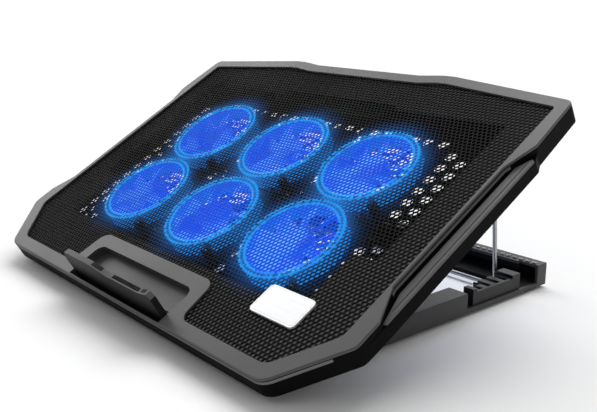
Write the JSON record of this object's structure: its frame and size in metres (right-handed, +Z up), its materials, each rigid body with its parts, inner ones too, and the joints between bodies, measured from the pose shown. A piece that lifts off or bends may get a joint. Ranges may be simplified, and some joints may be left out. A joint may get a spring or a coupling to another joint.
{
  "type": "laptop cooling pad",
  "caption": "Tilting laptop cooling pad: perforated black deck with lit blue fans and a fold-down stopper, on a low base frame with a folding wire stay.",
  "frame": {"origin": "middle of the footprint of the opened pad, on the surface it stands on", "axes": "+Z up, +Y towards the rear (raised) edge of the deck, +X to the right of a person sitting in front of it"},
  "size_m": [0.3926, 0.2804, 0.1516],
  "materials": {
    "black_plastic": "satin, fine mould texture",
    "shell_plastic": "matt black moulding",
    "mesh_metal": "powder-coated black perforated sheet",
    "grey_plastic": "satin dark grey moulding",
    "rack_plastic": "matt black moulding",
    "rubber": "matt rubber",
    "plate_metal": "fine brushed silver",
    "steel": "bright drawn wire",
    "socket_metal": "nickel-plated sheet",
    "board": "green laminate",
    "lead_sleeve": "black sleeve",
    "ring_light": "frosted light guide",
    "rotor_blue": "translucent blue"
  },
  "bodies": {
    "base": {"base_frame": "grey_plastic", "hinge_pins": "steel", "notch_rack_right": "rack_plastic", "notch_rack_left": "rack_plastic", "base_feet": "rubber"},
    "deck": {"top_bezel": "black_plastic", "side_rail_right": "black_plastic", "side_rail_left": "black_plastic", "bottom_shell": "shell_plastic", "recess_tray": "shell_plastic", "fan_frame_1": "shell_plastic", "fan_frame_2": "shell_plastic", "fan_frame_3": "shell_plastic", "fan_frame_4": "shell_plastic", "fan_frame_5": "shell_plastic", "fan_frame_6": "shell_plastic", "stay_clips": "shell_plastic", "dial_post": "shell_plastic", "mesh_sheet": "mesh_metal", "badge_plate": "plate_metal", "stopper_pins": "steel", "fan_screws": "steel", "shell_screws": "steel", "usb_socket_left": "socket_metal", "usb_socket_right": "socket_metal", "control_board": "board", "fan_leads": "lead_sleeve", "led_ring_1": "ring_light", "led_ring_2": "ring_light", "led_ring_3": "ring_light", "led_ring_4": "ring_light", "led_ring_5": "ring_light", "led_ring_6": "ring_light"},
    "stay": {"stay_wire": "steel"},
    "stopper": {"stopper_flap": "black_plastic", "stopper_pads": "rubber"},
    "dial": {"speed_dial": "rack_plastic"},
    "button": {"light_button": "rack_plastic"},
    "rotor_body_1": {"rotor_1": "rotor_blue"},
    "rotor_body_2": {"rotor_2": "rotor_blue"},
    "rotor_body_3": {"rotor_3": "rotor_blue"},
    "rotor_body_4": {"rotor_4": "rotor_blue"},
    "rotor_body_5": {"rotor_5": "rotor_blue"},
    "rotor_body_6": {"rotor_6": "rotor_blue"}
  },
  "joints": [
    {"name": "deck_tilt", "type": "hinge", "parent": "base", "child": "deck", "pos_m": [0, -0.09943, 0.0175], "axis": [1, 0, 0], "range_deg": [-29.66, 0]},
    {"name": "stay_fold", "type": "hinge", "parent": "deck", "child": "stay", "pos_m": [0, 0.09256, 0.12798], "axis": [1, 0, 0], "range_deg": [-65.95, 0]},
    {"name": "stopper_fold", "type": "hinge", "parent": "deck", "child": "stopper", "pos_m": [0, -0.1267, 0.0175], "axis": [1, 0, 0], "range_deg": [-90, 0]},
    {"name": "dial_turn", "type": "hinge", "parent": "deck", "child": "dial", "pos_m": [0.012, 0.09881, 0.13902], "axis": [0, -0.4949, 0.869], "range_deg": [0, 280]},
    {"name": "button_press", "type": "slide", "parent": "deck", "child": "button", "axis": [0, -0.869, -0.4949], "range_m": [0, 0.0012], "stiffness_N_per_m": 800, "springref_m": -0.0002},
    {"name": "rotor_spin_1", "type": "hinge", "parent": "deck", "child": "rotor_body_1", "pos_m": [-0.0887, -0.04997, 0.05694], "axis": [0, -0.4949, 0.869], "continuous": true},
    {"name": "rotor_spin_2", "type": "hinge", "parent": "deck", "child": "rotor_body_2", "pos_m": [0, -0.04997, 0.05694], "axis": [0, -0.4949, 0.869], "continuous": true},
    {"name": "rotor_spin_3", "type": "hinge", "parent": "deck", "child": "rotor_body_3", "pos_m": [0.0887, -0.04997, 0.05694], "axis": [0, -0.4949, 0.869], "continuous": true},
    {"name": "rotor_spin_4", "type": "hinge", "parent": "deck", "child": "rotor_body_4", "pos_m": [-0.0887, 0.01616, 0.0946], "axis": [0, -0.4949, 0.869], "continuous": true},
    {"name": "rotor_spin_5", "type": "hinge", "parent": "deck", "child": "rotor_body_5", "pos_m": [0, 0.01616, 0.0946], "axis": [0, -0.4949, 0.869], "continuous": true},
    {"name": "rotor_spin_6", "type": "hinge", "parent": "deck", "child": "rotor_body_6", "pos_m": [0.0887, 0.01616, 0.0946], "axis": [0, -0.4949, 0.869], "continuous": true}
  ],
  "couplings": [
    {"joint": "stay_fold", "follows": "deck_tilt", "ratio": 2.2235}
  ]
}
